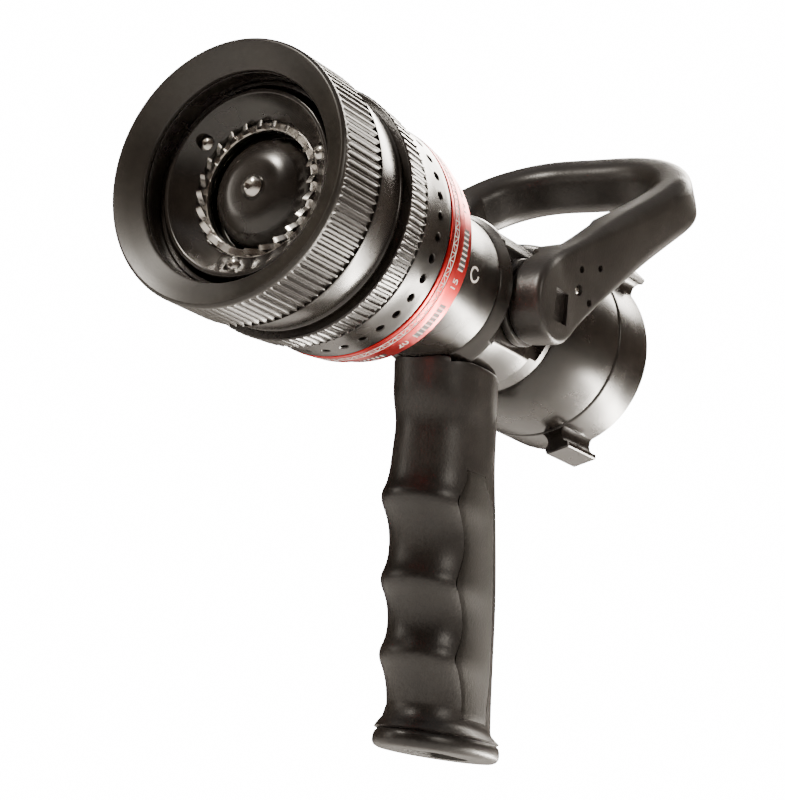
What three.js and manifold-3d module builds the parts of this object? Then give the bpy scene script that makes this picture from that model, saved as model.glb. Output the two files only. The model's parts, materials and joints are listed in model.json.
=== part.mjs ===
// Selectable-flow fire hose nozzle with a retractable foam tube, bail handle, pistol grip and
// swivel coupling. Millimetres. The nozzle axis is Y: the stream leaves toward -Y, the hose joins
// at +Y, and +Z is up. The origin is the centre of the coupling's rear face. Positions along the
// axis are written as distances behind the front rim, which at() turns into Y.
import * as THREE from 'three';
import { mergeVertices } from 'three/addons/utils/BufferGeometryUtils.js';
import Module from 'manifold-3d';

const wasm = await Module();
wasm.setup();

// ---------------------------------------------------------------- driving dimensions
const overallLength = 218;       // front rim to rear face of the coupling
const fit = 0.3;                 // gap between neighbours that touch or slide
const turns = 36;                // facets on the large turned parts
const smallTurns = 24;           // facets on the small turned parts
const pinTurns = 12;             // facets on pins and screws
const deg = Math.PI / 180;

const bumperRadius = 42;         // front rubber bumper
const tubeBore = 33;             // foam tube bore
const tubeRearRadius = 38.7;     // foam tube at its rear end
const sleeveRadius = 39.2;       // air-hole band
const airHoleCount = 36;
const airHoleRadius = 1.65;
const airHoleStation = 60.1;
const neckRadius = 25.8;         // barrel
const bodyRadius = 27.2;         // valve body
const flatHalfWidth = 21.3;      // half distance across the flats for the bail
const pivotStation = 144;        // ball and bail pivot
const ballRadius = 19;
const waterway = 12.5;           // radius of the hole through the ball
const bandRadius = 34.7;         // coupling band
const threadRadius = 23.6;       // coupling socket for a 1 1/2 inch pipe thread
const lugRadius = 42;
const lugCount = 3;
const lugPhase = 160;            // degrees from +Z toward +X

const bailLean = 40;             // degrees above the axis at rest
const bailReach = 110;           // pivot to the centre of the crossbar
const bailBossRadius = 14.5;
const bailOuterAtPivot = 37.3;   // outer face of an arm at the pivot
const bailOuterAtCorner = 50;
const bailCornerRadius = 30;     // centre line of the corners
const bailWide = 19;             // section across the loop's plane
const bailThick = 15.5;          // section in the loop's plane
const bailReliefRadius = 48;     // the arms are thin this far out, to pass the bell and shoulder
const bailReliefHalfWidth = 28.8;

const gripTop = -31;             // top face of the pistol grip
const gripBottom = -153;         // underside of its foot
const gripRake = 11.3;           // degrees the grip leans toward the hose
const gripWidth = 31;
const gripDepth = 43;
const footThick = 6;
const footHalfWidth = 19;
const footHalfDepth = 28;

const at = (behindFront) => behindFront - overallLength;

// ---------------------------------------------------------------- materials
const finish = (colour, roughness, metalness) =>
  new THREE.MeshStandardMaterial({ color: colour, roughness, metalness });
const blackAnodised = finish(0x1b1917, 0.35, 0.8);
const redAnodised = finish(0xb41416, 0.35, 0.7);
const stainless = finish(0xb9b8b4, 0.3, 1);
const blackPlastic = finish(0x23211e, 0.6, 0);
const blackRubber = finish(0x191716, 0.75, 0);
const whitePlastic = finish(0xdedcd4, 0.5, 0);

// ---------------------------------------------------------------- solid helpers
function toSolid(geometry) {
  const bare = geometry.index ? geometry.toNonIndexed() : geometry.clone();
  for (const name of Object.keys(bare.attributes)) {
    if (name !== 'position') bare.deleteAttribute(name);
  }
  const merged = mergeVertices(bare, 1e-4);
  const mesh = new wasm.Mesh({
    numProp: 3,
    vertProperties: new Float32Array(merged.attributes.position.array),
    triVerts: new Uint32Array(merged.index.array),
  });
  return new wasm.Manifold(mesh);
}

function toGeometry(solid) {
  const mesh = solid.getMesh();
  const geometry = new THREE.BufferGeometry();
  geometry.setAttribute('position', new THREE.BufferAttribute(mesh.vertProperties, 3));
  geometry.setIndex(new THREE.BufferAttribute(mesh.triVerts, 1));
  return geometry;
}

const join = (first, ...others) => others.reduce((sum, other) => sum.add(other), first);
const cut = (first, ...others) => others.reduce((rest, other) => rest.subtract(other), first);

// A ring or disc turned about the nozzle axis from [distance behind front, radius] points.
function turned(profile, facets = turns) {
  const points = profile.map(([station, radius]) => new THREE.Vector2(radius, at(station)));
  const closesOnAxis = points[0].x === 0 && points[points.length - 1].x === 0;
  if (THREE.ShapeUtils.area(points) < 0) points.reverse();
  if (!closesOnAxis) points.push(points[0].clone());
  return toSolid(new THREE.LatheGeometry(points, facets));
}

// A ring of round section lying around the nozzle axis.
function hoop(station, ringRadius, wireRadius, facets = smallTurns, wireFacets = 6) {
  const profile = [];
  for (let i = 0; i < wireFacets; i += 1) {
    const angle = (i / wireFacets) * 2 * Math.PI;
    profile.push([station + wireRadius * Math.cos(angle), ringRadius + wireRadius * Math.sin(angle)]);
  }
  return turned(profile, facets);
}

function block(sizeX, sizeY, sizeZ, x, y, z) {
  return toSolid(new THREE.BoxGeometry(sizeX, sizeY, sizeZ).translate(x, y, z));
}

// A round bar between two points.
function rod(from, to, radius, facets = pinTurns) {
  const start = new THREE.Vector3(...from);
  const span = new THREE.Vector3(...to).sub(start);
  const geometry = new THREE.CylinderGeometry(radius, radius, span.length(), facets);
  geometry.translate(0, span.length() / 2, 0);
  const turn = new THREE.Quaternion().setFromUnitVectors(
    new THREE.Vector3(0, 1, 0), span.clone().normalize());
  geometry.applyQuaternion(turn).translate(start.x, start.y, start.z);
  return toSolid(geometry);
}

// The point at a radius and an angle from +Z toward +X, a distance behind the front rim.
const around = (station, radius, angle) =>
  [radius * Math.sin(angle * deg), at(station), radius * Math.cos(angle * deg)];

// A bar that stands out radially from the axis.
const spoke = (station, angle, inner, outer, radius, facets = pinTurns) =>
  rod(around(station, inner, angle), around(station, outer, angle), radius, facets);

// A button head screw with a six-sided socket, its head toward the -Y end of the local axis.
function buttonScrew(headRadius, headHeight, shankRadius, shankLength) {
  const head = [[0, 0], [headRadius, 0], [headRadius * 0.86, -headHeight * 0.55],
    [headRadius * 0.5, -headHeight], [0, -headHeight]];
  const profile = head.map(([radius, y]) => new THREE.Vector2(radius, y)).reverse();
  const dome = toSolid(new THREE.LatheGeometry(profile, pinTurns));
  const shank = rod([0, -0.1, 0], [0, shankLength, 0], shankRadius);
  const socket = rod([0, -headHeight - 1, 0], [0, -headHeight * 0.35, 0], headRadius * 0.42, 6);
  return cut(join(dome, shank), socket);
}

const parts = new THREE.Group();

function addPart(name, solid, material) {
  const mesh = new THREE.Mesh(toGeometry(solid), material);
  mesh.name = name;
  parts.add(mesh);
  return mesh;
}

// ---------------------------------------------------------------- foam tube, slides on the sleeve
function makeFoamTube() {
  addPart('front_bumper', turned([
    [0, 40.9], [4.2, 33.9], [5.4, tubeBore], [6, tubeBore], [6, 34.8], [21.4, 34.8],
    [21.4, 41.9], [1.2, bumperRadius], [0.3, 41.7],
  ]), blackRubber);
  addPart('foam_tube', turned([
    [6.3, tubeBore], [6.3, 34.5], [21.7, 34.5], [21.7, 41.3], [35.8, tubeRearRadius],
    [36.4, 39.1], [37.5, 39.1], [38.2, 38.4], [38.2, tubeBore],
  ]), blackAnodised);
}

// ---------------------------------------------------------------- pattern sleeve, turns and slides
function makePatternSleeve() {
  const shell = turned([
    [13, 32.7], [38.9, 32.7], [38.9, 36.4], [51, 36.4], [51, 39.8], [51.7, 39.8],
    [51.7, sleeveRadius], [66.6, sleeveRadius], [66.6, 34.6], [68.2, 34.6], [68.2, 28.6], [71.7, 28.6], [71.7, 26.1],
    [67.5, 26.1], [67.5, 27.6], [56.5, 27.6], [56.5, 26.1], [54.3, 26.1], [54.3, 28],
    [46, 28], [46, 30], [64.2, 30], [64.2, 35.5], [52, 35.5], [50, 31.4], [13, 31.4],
  ]);
  const pitch = 360 / airHoleCount;
  const drills = [];
  for (let i = 0; i < airHoleCount; i += 1) {
    drills.push(spoke(airHoleStation, (i + 0.5) * pitch, 33, 42, airHoleRadius, 6));
  }
  addPart('pattern_sleeve', cut(shell, ...drills), blackAnodised);
  addPart('rear_grip_ring', turned([
    [38.6, 36.7], [38.6, 41.2], [39.1, 41.7], [50.2, 40.9], [50.7, 40.5], [50.7, 36.7],
  ]), blackAnodised);
}

// ---------------------------------------------------------------- stream shaper inside the sleeve
const noseScrewRadius = 24.6;
const noseScrewAngles = [67, 187, 307];
const noseSeat = 15.2;

function makeStreamShaper() {
  const screwHoles = noseScrewAngles.map((angle) =>
    rod(around(10, noseScrewRadius, angle), around(26, noseScrewRadius, angle), 1.7));
  const screwSeats = noseScrewAngles.map((angle) =>
    rod(around(10, noseScrewRadius, angle), around(noseSeat, noseScrewRadius, angle), 3.1));
  const shaper = turned([
    [19.3, 23.2], [21.3, 23.2], [21.3, 22], [43, 22], [43, 26.1], [54, 26.1], [54, 27.7],
    [45.7, 27.7], [45.7, 29.7], [19.3, 29.7],
  ], smallTurns);
  addPart('stream_shaper', cut(shaper, ...screwHoles), blackAnodised);
  const nose = turned([
    [10.6, 28.2], [12, 27.4], [16.8, 21.7], [19, 21.7], [19, 29.7], [10.6, 29.7],
  ], smallTurns);
  addPart('shaper_nose', cut(nose, ...screwHoles, ...screwSeats), blackAnodised);
  noseScrewAngles.forEach((angle, i) => {
    const [x, y, z] = around(noseSeat, noseScrewRadius, angle);
    const screw = buttonScrew(2.7, 1.8, 1.4, 8).translate([x, y - 0.1, z]);
    addPart(`nose_screw_${i + 1}`, screw, stainless);
  });
}

function makeToothRing() {
  const toothCount = 24;
  const band = turned([
    [18, 18.9], [18, 21.4], [19.3, 21.4], [19.3, 22.8], [21, 22.8], [21, 18.9],
  ], toothCount * 2);
  const outline = new THREE.Shape([
    new THREE.Vector2(-1.3, 0.3), new THREE.Vector2(1.1, 0.3), new THREE.Vector2(1.5, -2.9),
  ]);
  const teeth = [];
  for (let i = 0; i < toothCount; i += 1) {
    const tooth = new THREE.ExtrudeGeometry(outline, { depth: 1.7, bevelEnabled: false });
    tooth.translate(0, at(18), 19.4).rotateY(((i + 0.5) * 360 / toothCount) * deg);
    teeth.push(toSolid(tooth));
  }
  addPart('tooth_ring', join(band, ...teeth), stainless);
}

// ---------------------------------------------------------------- baffle and its stem
const flowPinStation = 77.5;

function makeBaffle() {
  addPart('baffle_head', turned([
    [14.9, 2.4], [14.9, 8.6], [16, 12], [18.4, 15.4], [21.2, 17.3], [22.4, 17.3],
    [24.2, 14.6], [27.5, 6.4], [27.5, 4.3], [21, 4.3], [21, 2.4],
  ], smallTurns), blackAnodised);
  const screw = buttonScrew(3.5, 2.1, 2, 12).translate([0, at(14.6), 0]);
  addPart('baffle_screw', screw, stainless);
  const stem = turned([
    [29, 0], [29, 2.3], [21.3, 2.3], [21.3, 4], [96, 4], [96, 0],
  ], smallTurns);
  const y = at(flowPinStation);
  addPart('baffle_stem', cut(stem, rod([-8, y, 0], [8, y, 0], 1.4)), stainless);
  addPart('flow_pin', rod([-28.6, y, 0], [28.6, y, 0], 1.1), stainless);
}

// ---------------------------------------------------------------- flow ring and its detent
function makeFlowRing() {
  addPart('flow_ring', turned([
    [67, 35], [67, 39.3], [76.4, 38.5], [76.4, 37], [84.6, 36.3], [85.5, 35.6], [85.5, 29], [84, 29],
    [84, 26.1], [83.6, 26.1], [83.2, 27.3], [81.4, 27.3], [81, 26.1], [80.6, 26.1],
    [80.6, 29], [76.2, 29], [76.2, 26.1], [74, 26.1], [74, 35],
  ]), redAnodised);
  const clip = turned([[84.3, 24.9], [84.3, 28.4], [85.3, 28.4], [85.3, 24.9]], smallTurns);
  const mouth = block(5, 4, 8, 0, at(84.8), -27);
  addPart('flow_ring_circlip', cut(clip, mouth), stainless);
  const [, y, z] = around(82.3, 25.3, 0);
  const detentBall = new THREE.SphereGeometry(1.3, 12, 8).translate(0, y, z);
  addPart('detent_ball', toSolid(detentBall), stainless);
  addPart('detent_spring', makeSpring(y, 21.1, 23.8, 1.1, 0.25, 3), stainless);
}

// A small compression spring that stands along Z.
function makeSpring(y, low, high, coilRadius, wireRadius, coils) {
  const stepsPerCoil = 8;
  const points = [];
  for (let i = 0; i <= coils * stepsPerCoil; i += 1) {
    const angle = (i / stepsPerCoil) * 2 * Math.PI;
    const z = low + wireRadius + ((high - low - 2 * wireRadius) * i) / (coils * stepsPerCoil);
    points.push(new THREE.Vector3(coilRadius * Math.cos(angle), y + coilRadius * Math.sin(angle), z));
  }
  const wire = new THREE.Shape().absarc(0, 0, wireRadius, 0, 2 * Math.PI);
  return toSolid(new THREE.ExtrudeGeometry(wire, {
    steps: coils * stepsPerCoil,
    curveSegments: 4,
    bevelEnabled: false,
    extrudePath: new THREE.CatmullRomCurve3(points),
  }));
}

// ---------------------------------------------------------------- barrel and the parts it carries
function makeBarrel() {
  const tube = turned([
    [25, 18.6], [25, 20.7], [26, 21.7], [35.8, 21.7], [35.8, 19.9], [38.2, 19.9], [38.2, 21.7],
    [45, 21.7], [46.4, neckRadius], [84.1, neckRadius], [84.1, 24.5], [85.5, 24.5],
    [85.5, neckRadius], [122, neckRadius], [122, 21.5], [126, 21.5], [126, 13], [113, 13],
    [104, 19], [60, 19], [56, 18.2], [27, 18.2],
  ]);
  const pinY = at(78.45);
  const slot = block(60, 4.7, 2.8, 0, pinY, 0);
  const keyways = [24.2, -26.2].map((z) => block(4.6, 10.8, 2, 0, at(68.6), z + 1));
  const detentHole = spoke(82.3, 0, 20.8, 28, 1.7);
  const camHoles = [90, 270].map((angle) => spoke(58, angle, 22.5, 28, 1.5));
  addPart('barrel', cut(tube, slot, ...keyways, detentHole, ...camHoles), blackAnodised);
  ['right', 'left'].forEach((side, i) => {
    addPart(`cam_pin_${side}`, spoke(58, 90 + 180 * i, 22.8, 27.3, 1.2), stainless);
  });
  addPart('shaper_oring', hoop(37, 21, 0.8), blackRubber);

  const keys = [25.6, -25.6].map((z) => block(4, 1.6, 2, 0, at(72.8), z));
  const ring = turned([
    [69, 28.9], [69, 32], [73.6, 32], [73.6, 26.1], [72, 26.1], [72, 28.9],
  ], smallTurns);
  addPart('pattern_guide_ring', join(ring, ...keys), whitePlastic);

  const hub = turned([[88, 4.3], [88, 7], [96, 7], [96, 4.3]], smallTurns);
  const rim = turned([[88, 17], [88, 18.7], [94, 18.7], [94, 17]], smallTurns);
  const vanes = [0, 120, 240].map((angle) => {
    const vane = new THREE.BoxGeometry(2, 6, 11).translate(0, at(91), 12).rotateY(angle * deg);
    return toSolid(vane);
  });
  addPart('stem_spider', join(hub, rim, ...vanes), stainless);
}

// ---------------------------------------------------------------- valve body, seats and ball
// Points of an arc on the ball's clearance sphere between two radii, on one side of the pivot.
function seatArc(side, inner, outer, steps) {
  const clear = ballRadius + fit;
  const points = [];
  for (let i = 0; i <= steps; i += 1) {
    const radius = inner + ((outer - inner) * i) / steps;
    points.push([pivotStation + side * Math.sqrt(clear * clear - radius * radius), radius]);
  }
  return points;
}

function makeValveBody() {
  const cavity = ballRadius + 0.4;
  const shell = turned([
    [122.3, 21.8], [122.3, neckRadius], [123, 26.2], [129, 28], [131, bodyRadius],
    [155.5, bodyRadius], [155.9, 26.8], [163.4, 26.8], [163.4, 24.6], [170, 24.6], [170, 22.9],
    [161.9, 22.9], [161.9, cavity], [126.3, cavity], [126.3, 21.8],
  ]);
  const saddle = block(18, 26, 14, 0, at(140), gripTop + fit + 7);
  const bore = rod([0, at(120), 0], [0, at(165), 0], 24, turns);
  const flats = [1, -1].map((side) =>
    block(12, 32.5, 60, side * (flatHalfWidth + 6), at(pivotStation), 0));
  const trunnionBore = rod([-40, at(pivotStation), 0], [40, at(pivotStation), 0], 6.3, smallTurns);
  const boltHole = rod([0, at(140), -40], [0, at(140), -23], 3.3);
  const body = join(shell, cut(saddle, bore));
  addPart('valve_body', cut(body, ...flats, trunnionBore, boltHole), blackAnodised);

  [['front', -1], ['rear', 1]].forEach(([name, side]) => {
    const face = seatArc(side, 12.8, 17.5, 4);
    const back = pivotStation + side * 17.7;
    const shoulder = face[face.length - 1][0];
    addPart(`seat_${name}`, turned([
      ...face, [shoulder, cavity - fit], [back, cavity - fit], [back, 12.8],
    ], smallTurns), whitePlastic);
  });

  const sphere = toSolid(new THREE.SphereGeometry(ballRadius, 24, 16)
    .translate(0, at(pivotStation), 0));
  const throughHole = rod([0, at(120), 0], [0, at(170), 0], waterway, smallTurns);
  const slots = [1, -1].map((side) => block(8, 13, 5, side * 19.2, at(pivotStation), 0));
  addPart('ball', cut(sphere, throughHole, ...slots), stainless);
}

// ---------------------------------------------------------------- bail, its pivots and screws
// The bail is drawn upright in the XZ plane at the origin, then tipped back over the pivot.
function placeOnBail(geometryOrSolid) {
  return geometryOrSolid.rotate([-(90 - bailLean), 0, 0]).translate([0, at(pivotStation), 0]);
}

function roundedSection(width, height, radius) {
  const halfWidth = width / 2;
  const halfHeight = height / 2;
  const shape = new THREE.Shape();
  shape.absarc(halfWidth - radius, halfHeight - radius, radius, 0, Math.PI / 2);
  shape.absarc(-halfWidth + radius, halfHeight - radius, radius, Math.PI / 2, Math.PI);
  shape.absarc(-halfWidth + radius, -halfHeight + radius, radius, Math.PI, 1.5 * Math.PI);
  shape.absarc(halfWidth - radius, -halfHeight + radius, radius, 1.5 * Math.PI, 2 * Math.PI);
  return shape;
}

function bailPath() {
  const foot = bailOuterAtPivot - bailThick / 2;
  const wide = bailOuterAtCorner - bailThick / 2;
  const straightTop = bailReach - bailCornerRadius;
  const right = [
    new THREE.Vector3(foot, 0, 0),
    new THREE.Vector3(foot, 0, 14),
    new THREE.Vector3(foot + (wide - foot) * 0.45, 0, straightTop * 0.58),
  ];
  for (let i = 0; i <= 4; i += 1) {
    const angle = (i / 4) * 84 * deg;
    right.push(new THREE.Vector3(
      wide - bailCornerRadius + bailCornerRadius * Math.cos(angle), 0,
      straightTop + bailCornerRadius * Math.sin(angle)));
  }
  const left = right.map((point) => new THREE.Vector3(-point.x, 0, point.z)).reverse();
  return new THREE.CatmullRomCurve3([...right, new THREE.Vector3(0, 0, bailReach), ...left],
    false, 'centripetal');
}

// A square bar across the bail's pivot that lies square to the nozzle axis at rest.
const driveSize = 8;
const squareDrive = (size, from, to) =>
  block(Math.abs(to - from), size, size, (from + to) / 2, 0, 0).rotate([90 - bailLean, 0, 0]);

// The bail screws' place, drawn upright, at a given distance across.
const onBail = (x) => [x, 2, 13.9];

function makeBail() {
  const section = roundedSection(bailThick, bailWide, 5.5);
  const loop = toSolid(new THREE.ExtrudeGeometry(section, {
    steps: 32, curveSegments: 2, bevelEnabled: false, extrudePath: bailPath(),
  }));
  const bosses = [1, -1].map((side) => rod(
    [side * (bailOuterAtPivot - bailThick + 2.6), 0, 0], [side * bailOuterAtPivot, 0, 0],
    bailBossRadius, smallTurns));
  const drives = [1, -1].map((side) => squareDrive(driveSize + 2 * fit, side * 21, side * 41));
  const screwHoles = [1, -1].map((side) => rod(
    onBail(side * 29.2), onBail(side * 42), 1.5));
  const heads = [1, -1].map((side) => rod(onBail(side * 35.6), onBail(side * 42), 2.1));
  const clearance = [1, -1].map((side) => rod([side * 10, 0, 0], [side * 24.7, 0, 0], 17, smallTurns));
  const reliefs = [1, -1].map((side) => cut(
    rod([side * 10, 0, 0], [side * bailReliefHalfWidth, 0, 0], bailReliefRadius, turns),
    rod([side * 9, 0, 0], [side * 30, 0, 0], bailBossRadius + 0.7, smallTurns)));
  const handle = cut(
    join(loop, ...bosses), ...drives, ...screwHoles, ...heads, ...clearance, ...reliefs);
  addPart('bail_handle', placeOnBail(handle), blackPlastic);

  [['right', 1], ['left', -1]].forEach(([name, side]) => {
    const stem = rod([side * 18, 0, 0], [side * 24.4, 0, 0], 6, smallTurns);
    const square = squareDrive(driveSize, side * 24.3, side * 35.6);
    const tang = rod([side * 15.6, 0, 0], [side * 18.5, 0, 0], 6, smallTurns);
    const key = block(4, 4.4, 12, side * 17.4, 0, 0).intersect(join(tang, stem));
    const trunnion = join(cut(stem, block(4, 30, 30, side * 17, 0, 0)), square);
    const turnedKey = key.rotate([90 + (90 - bailLean), 0, 0]);
    addPart(`trunnion_${name}`, placeOnBail(join(trunnion, turnedKey)), stainless);
    const spacer = cut(rod([side * (flatHalfWidth + fit), 0, 0], [side * 24.4, 0, 0], 15, smallTurns),
      rod([side * 20, 0, 0], [side * 26, 0, 0], 6.3, smallTurns));
    addPart(`pivot_spacer_${name}`, placeOnBail(spacer), blackPlastic);
    const screw = buttonScrew(1.8, 1.3, 1.2, 5).rotate([0, 0, side * 90])
      .translate(onBail(side * 35.8));
    addPart(`bail_screw_${name}`, placeOnBail(screw), stainless);
  });
}

// ---------------------------------------------------------------- pistol grip
const gripCentre = (z) => at(138) + Math.tan(gripRake * deg) * (gripTop - z);

function gripOutline() {
  const halfDepth = gripDepth / 2;
  const shape = new THREE.Shape();
  const front = (z, bulge) => new THREE.Vector2(-(gripCentre(z) - halfDepth - bulge), z);
  const back = (z, bulge) => new THREE.Vector2(-(gripCentre(z) + halfDepth + bulge), z);
  const footTop = gripBottom + footThick / 2;
  shape.moveTo(front(gripTop, 0).x, gripTop);
  shape.splineThru([
    front(-45, -0.5), front(-62, -1), front(-74, 3.2), front(-87, -1.6), front(-100, 3),
    front(-113, -1.6), front(-126, 3), front(-138, -0.5), front(footTop, 1),
  ]);
  shape.lineTo(back(footTop, 0).x, footTop);
  shape.splineThru([back(-130, 1), back(-110, 2), back(-85, 2), back(-60, -1), back(gripTop, 0)]);
  return shape;
}

// The grip seen from above: a rounded column that leans with the grip.
function gripColumn() {
  const round = new THREE.Shape();
  const half = gripWidth / 2;
  const reach = gripDepth / 2 + 4.5;
  round.moveTo(half, 0);
  round.bezierCurveTo(half, reach * 0.75, half * 0.6, reach, 0, reach);
  round.bezierCurveTo(-half * 0.6, reach, -half, reach * 0.75, -half, 0);
  round.bezierCurveTo(-half, -reach * 0.75, -half * 0.6, -reach, 0, -reach);
  round.bezierCurveTo(half * 0.6, -reach, half, -reach * 0.75, half, 0);
  const height = gripTop - gripBottom;
  const column = new THREE.ExtrudeGeometry(round, {
    depth: height, bevelEnabled: false, curveSegments: 6,
  });
  const lean = Math.tan(gripRake * deg);
  column.applyMatrix4(new THREE.Matrix4().makeShear(0, 0, 0, 0, 0, -lean));
  return toSolid(column.translate(0, gripCentre(gripBottom), gripBottom));
}

function panelOutline(grow) {
  const shape = new THREE.Shape();
  const edge = (z, offset) => new THREE.Vector2(-(gripCentre(z) + offset), z);
  shape.setFromPoints([
    edge(-64 + grow, 2 - grow), edge(-84, 4 - grow), edge(-100, 2.5 - grow), edge(-113, 4 - grow),
    edge(-126, 2.5 - grow), edge(-140 - grow, 3 - grow), edge(-140 - grow, 11 + grow),
    edge(-90, 12.5 + grow), edge(-62 + grow, 10 + grow),
  ]);
  return shape;
}

// Extrudes an outline drawn with -Y to the right along X, centred on x.
function acrossX(shape, x, depth) {
  const geometry = new THREE.ExtrudeGeometry(shape, {
    depth, curveSegments: 3, bevelEnabled: false,
  });
  geometry.translate(0, 0, -depth / 2);
  geometry.applyMatrix4(new THREE.Matrix4().makeBasis(
    new THREE.Vector3(0, -1, 0), new THREE.Vector3(0, 0, 1), new THREE.Vector3(-1, 0, 0)));
  return toSolid(geometry.translate(x, 0, 0));
}

function makeGrip() {
  const sides = acrossX(gripOutline(), 0, gripWidth + 10);
  const shank = sides.intersect(gripColumn());
  const footShape = new THREE.Shape().absellipse(0, 0, footHalfWidth, footHalfDepth, 0, 2 * Math.PI);
  const foot = new THREE.ExtrudeGeometry(footShape, {
    depth: footThick - 3, curveSegments: 14, bevelThickness: 1.5, bevelSize: 1.5,
    bevelOffset: -1.5, bevelSegments: 2,
  });
  foot.translate(0, gripCentre(gripBottom) - 0.5, gripBottom + 1.5);
  const handle = join(shank, toSolid(foot));
  const onAxis = (z) => [0, gripCentre(z), z];
  const hollow = rod(onAxis(-66), onAxis(gripBottom - 5), 7.5, smallTurns);
  const boltHole = rod([0, at(140), -20], [0, at(140), -70], 3.3);
  const boltHead = rod([0, at(140), -61], [0, at(140), -70], 6.4, pinTurns);
  const panelDepth = 1.5;
  const face = gripWidth / 2;
  const recesses = [1, -1].map((side) =>
    acrossX(panelOutline(fit), side * face, 2 * (panelDepth + fit)));
  addPart('pistol_grip', cut(handle, hollow, boltHole, boltHead, ...recesses), blackPlastic);
  [['right', 1], ['left', -1]].forEach(([name, side]) => {
    addPart(`grip_panel_${name}`,
      acrossX(panelOutline(0), side * (face - panelDepth / 2), panelDepth), blackRubber);
  });
  const bolt = join(rod([0, at(140), -24], [0, at(140), -61.3], 3),
    rod([0, at(140), -61.3], [0, at(140), -66], 5.5, 6));
  addPart('grip_bolt', bolt, stainless);
}

// ---------------------------------------------------------------- tailpiece and swivel coupling
function makeTailpiece() {
  addPart('tailpiece', turned([
    [162.2, 13], [162.2, 22.6], [170.3, 22.6], [170.3, 24.6], [178.4, 24.6], [178.4, 23.3],
    [181.6, 23.3], [181.6, 24.6], [188.3, 24.6], [188.3, 17], [176, 17], [170, 13],
  ], smallTurns), blackAnodised);
  addPart('swivel_wire', hoop(180, 24.75, 1.1), stainless);
}

function lugSection() {
  const root = bandRadius - 1.6;
  const shape = new THREE.Shape();
  shape.moveTo(-4.6, root);
  shape.lineTo(4.6, root);
  shape.quadraticCurveTo(2.4, root + 4.4, 4.2, lugRadius - 1.4);
  shape.lineTo(3.9, lugRadius);
  shape.lineTo(-3.9, lugRadius);
  shape.lineTo(-4.2, lugRadius - 1.4);
  shape.quadraticCurveTo(-2.4, root + 4.4, -4.6, root);
  return shape;
}

function makeCoupling() {
  const shell = turned([
    [165, 24.9], [165, 26], [165.6, 26.6], [168.4, 28.6], [172.5, 30.4], [178, 31.9],
    [184, 33], [190, 33.9], [194.8, 34.3], [195.2, bandRadius], [217.2, bandRadius],
    [overallLength, 34], [overallLength, 25], [216.6, threadRadius], [188.6, threadRadius],
    [188.6, 24.9], [181.8, 24.9], [181.8, 26.3], [178.2, 26.3], [178.2, 24.9],
  ]);
  const lugLength = 22;
  const lugs = [];
  for (let i = 0; i < lugCount; i += 1) {
    const lug = new THREE.ExtrudeGeometry(lugSection(), {
      depth: lugLength, bevelEnabled: false, curveSegments: 4,
    });
    lug.rotateX(90 * deg).rotateZ(180 * deg).translate(0, at(195.6), 0);
    lug.rotateY((lugPhase + (i * 360) / lugCount + 180) * deg);
    lugs.push(toSolid(lug));
  }
  const bore = rod([0, at(190), 0], [0, at(230), 0], 30, turns);
  addPart('swivel_coupling', join(shell, ...lugs.map((lug) => cut(lug, bore))), blackAnodised);
  addPart('gasket', turned([
    [188.9, 18], [188.9, threadRadius - fit], [191.9, threadRadius - fit], [191.9, 18],
  ], smallTurns), blackRubber);
}

makeFoamTube();
makePatternSleeve();
makeStreamShaper();
makeToothRing();
makeBaffle();
makeFlowRing();
makeBarrel();
makeValveBody();
makeBail();
makeGrip();
makeTailpiece();
makeCoupling();

export default parts;
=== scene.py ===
import json
import math

import bmesh
import bpy
from mathutils import Matrix, Vector


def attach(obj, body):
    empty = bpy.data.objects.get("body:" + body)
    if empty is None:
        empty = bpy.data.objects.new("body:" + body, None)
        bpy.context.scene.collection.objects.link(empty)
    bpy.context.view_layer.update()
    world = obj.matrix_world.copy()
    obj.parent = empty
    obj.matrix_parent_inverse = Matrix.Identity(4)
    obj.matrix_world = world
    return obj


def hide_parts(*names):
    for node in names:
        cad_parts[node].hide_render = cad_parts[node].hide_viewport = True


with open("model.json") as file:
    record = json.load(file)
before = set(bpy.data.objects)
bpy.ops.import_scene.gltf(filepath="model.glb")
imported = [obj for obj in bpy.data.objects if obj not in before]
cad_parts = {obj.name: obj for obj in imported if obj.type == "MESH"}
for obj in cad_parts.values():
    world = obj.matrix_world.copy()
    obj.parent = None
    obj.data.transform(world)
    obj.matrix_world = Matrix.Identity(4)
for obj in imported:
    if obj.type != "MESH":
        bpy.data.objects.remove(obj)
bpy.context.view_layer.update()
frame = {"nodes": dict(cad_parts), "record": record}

mm = 0.001
nozzleLength = 218  # front rim to the rear face of the coupling, mm
pivotStation = 144  # the ball and the bail turn here, mm behind the front rim


def at(station):
    # a distance behind the front rim, as a Y in metres
    return (station - nozzleLength) * mm


# ---- materials

def newMaterial(name, colour, roughness, metallic=0.0, specular=0.5, coat=0.0, coatRoughness=0.15):
    material = bpy.data.materials.new(name)
    material.use_nodes = True
    shader = material.node_tree.nodes["Principled BSDF"]
    shader.inputs["Base Color"].default_value = (*colour, 1)
    shader.inputs["Roughness"].default_value = roughness
    shader.inputs["Metallic"].default_value = metallic
    shader.inputs["Specular IOR Level"].default_value = specular
    shader.inputs["Coat Weight"].default_value = coat
    shader.inputs["Coat Roughness"].default_value = coatRoughness
    return material


def addNode(material, kind, **sockets):
    node = material.node_tree.nodes.new(kind)
    for socket, value in sockets.items():
        node.inputs[socket].default_value = value
    return node


def wire(material, source, target):
    material.node_tree.links.new(source, target)


def objectPoint(material):
    return addNode(material, "ShaderNodeTexCoord").outputs["Object"]


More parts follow.
